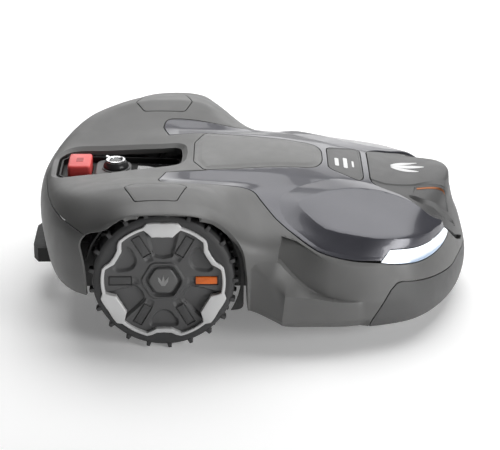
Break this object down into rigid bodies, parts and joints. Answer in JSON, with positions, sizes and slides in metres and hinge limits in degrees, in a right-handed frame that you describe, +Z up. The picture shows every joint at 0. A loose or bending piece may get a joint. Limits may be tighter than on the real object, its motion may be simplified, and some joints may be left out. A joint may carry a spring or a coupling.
{
  "type": "robotic lawn mower",
  "caption": "Robotic lawn mower: sprung body shell over a drive chassis with driven rear wheels, front casters, control recess and a height-adjusted blade disc.",
  "frame": {"origin": "on the ground under the middle of the outline", "axes": "+X forward, +Y to the mower's left, +Z up"},
  "size_m": [0.7559, 0.5662, 0.264],
  "materials": {
    "body_grey": "fine moulded texture, mid grey",
    "hood_graphite": "satin metallic graphite",
    "trim_dark": "fine moulded texture, dark grey",
    "lamp_lens": "clear polished lens over white light strip",
    "black_plastic": "moulded black",
    "display_gloss": "polished black window",
    "stop_red": "satin red",
    "tyre_rubber": "matte rubber",
    "post_rubber": "matte rubber",
    "hub_grey": "fine texture, dark grey",
    "ring_silver": "satin silver paint",
    "marker_orange": "satin orange",
    "steel": "ground steel",
    "motor_aluminium": "die cast",
    "battery_case": "moulded",
    "board_green": "solder mask"
  },
  "bodies": {
    "chassis": {"chassis_lower": "black_plastic", "chassis_upper": "black_plastic", "control_deck": "black_plastic", "display_panel": "display_gloss", "dial_bezel": "black_plastic", "battery": "battery_case", "main_board": "board_green", "drive_motor_left": "motor_aluminium", "drive_motor_right": "motor_aluminium", "wheel_liner_left": "black_plastic", "wheel_liner_right": "black_plastic", "rear_handle": "black_plastic"},
    "shell_carrier": {"body_post_front_left": "post_rubber", "body_post_front_right": "post_rubber", "body_post_rear_left": "post_rubber", "body_post_rear_right": "post_rubber"},
    "shell": {"body_shell": "body_grey", "hood": "hood_graphite", "top_hatch": "body_grey", "label_plate": "trim_dark", "nose_panel": "trim_dark", "front_bumper": "trim_dark", "rear_bumper": "body_grey", "headlight_left": "lamp_lens", "headlight_right": "lamp_lens", "fender_cover_left": "body_grey", "fender_cover_right": "body_grey"},
    "cutting_carriage": {"cutting_motor": "black_plastic"},
    "height_screw": {"height_screw": "steel"},
    "blade_disc": {"blade_disc": "black_plastic"},
    "blade_1": {"blade_1": "steel"},
    "blade_2": {"blade_2": "steel"},
    "blade_3": {"blade_3": "steel"},
    "skid_plate": {"skid_plate": "black_plastic"},
    "stop_button": {"stop_button": "stop_red"},
    "jog_dial": {"jog_dial": "black_plastic"},
    "dial_button": {"dial_button": "black_plastic"},
    "rear_wheel_left": {"tyre_left": "tyre_rubber", "wheel_hub_left": "hub_grey", "wheel_ring_left": "ring_silver", "wheel_cap_left": "hub_grey", "wheel_marker_left": "marker_orange", "drive_axle_left": "steel"},
    "caster_left": {"caster_fork_left": "black_plastic", "caster_axle_left": "steel"},
    "caster_wheel_left": {"caster_wheel_left": "tyre_rubber"},
    "rear_wheel_right": {"tyre_right": "tyre_rubber", "wheel_hub_right": "hub_grey", "wheel_ring_right": "ring_silver", "wheel_cap_right": "hub_grey", "wheel_marker_right": "marker_orange", "drive_axle_right": "steel"},
    "caster_right": {"caster_fork_right": "black_plastic", "caster_axle_right": "steel"},
    "caster_wheel_right": {"caster_wheel_right": "tyre_rubber"}
  },
  "joints": [
    {"name": "shell_bump", "type": "slide", "parent": "chassis", "child": "shell_carrier", "axis": [1, 0, 0], "range_m": [-0.004, 0.004], "stiffness_N_per_m": 6000},
    {"name": "shell_lift", "type": "slide", "parent": "shell_carrier", "child": "shell", "axis": [0, 0, 1], "range_m": [0, 0.006]},
    {"name": "cutting_height", "type": "slide", "parent": "chassis", "child": "cutting_carriage", "axis": [0, 0, 1], "range_m": [-0.02, 0.015]},
    {"name": "height_screw_turn", "type": "hinge", "parent": "chassis", "child": "height_screw", "pos_m": [0.082, 0, 0.1], "axis": [0, 0, 1], "range_deg": [-365, 275]},
    {"name": "disc_spin", "type": "hinge", "parent": "cutting_carriage", "child": "blade_disc", "pos_m": [0.02, 0, 0.05], "axis": [0, 0, 1], "continuous": true},
    {"name": "skid_spin", "type": "hinge", "parent": "blade_disc", "child": "skid_plate", "pos_m": [0.02, 0, 0.045], "axis": [0, 0, 1], "continuous": true},
    {"name": "stop_button_press", "type": "slide", "parent": "chassis", "child": "stop_button", "axis": [0, 0, -1], "range_m": [0, 0.006], "stiffness_N_per_m": 500, "springref_m": -0.004},
    {"name": "dial_turn", "type": "hinge", "parent": "chassis", "child": "jog_dial", "pos_m": [-0.233, 0, 0.22], "axis": [0, 0, 1], "continuous": true},
    {"name": "dial_button_press", "type": "slide", "parent": "jog_dial", "child": "dial_button", "axis": [0, 0, -1], "range_m": [0, 0.0015], "stiffness_N_per_m": 400, "springref_m": -0.002},
    {"name": "blade_1_pivot", "type": "hinge", "parent": "blade_disc", "child": "blade_1", "pos_m": [0.12, 0, 0.0492], "axis": [0, 0, 1], "continuous": true},
    {"name": "blade_2_pivot", "type": "hinge", "parent": "blade_disc", "child": "blade_2", "pos_m": [-0.03, 0.0866, 0.0492], "axis": [0, 0, 1], "continuous": true},
    {"name": "blade_3_pivot", "type": "hinge", "parent": "blade_disc", "child": "blade_3", "pos_m": [-0.03, -0.0866, 0.0492], "axis": [0, 0, 1], "continuous": true},
    {"name": "rear_wheel_left_roll", "type": "hinge", "parent": "chassis", "child": "rear_wheel_left", "pos_m": [-0.143, 0.24, 0.1225], "axis": [0, 1, 0], "continuous": true},
    {"name": "caster_left_swivel", "type": "hinge", "parent": "chassis", "child": "caster_left", "pos_m": [0.222, 0.178, 0.1], "axis": [0, 0, 1], "continuous": true},
    {"name": "caster_left_roll", "type": "hinge", "parent": "caster_left", "child": "caster_wheel_left", "pos_m": [0.196, 0.178, 0.036], "axis": [0, 1, 0], "continuous": true},
    {"name": "rear_wheel_right_roll", "type": "hinge", "parent": "chassis", "child": "rear_wheel_right", "pos_m": [-0.143, -0.24, 0.1225], "axis": [0, 1, 0], "continuous": true},
    {"name": "caster_right_swivel", "type": "hinge", "parent": "chassis", "child": "caster_right", "pos_m": [0.222, -0.178, 0.1], "axis": [0, 0, 1], "continuous": true},
    {"name": "caster_right_roll", "type": "hinge", "parent": "caster_right", "child": "caster_wheel_right", "pos_m": [0.196, -0.178, 0.036], "axis": [0, 1, 0], "continuous": true}
  ],
  "couplings": [
    {"joint": "height_screw_turn", "follows": "cutting_height", "rad_per_m": 314.16}
  ]
}
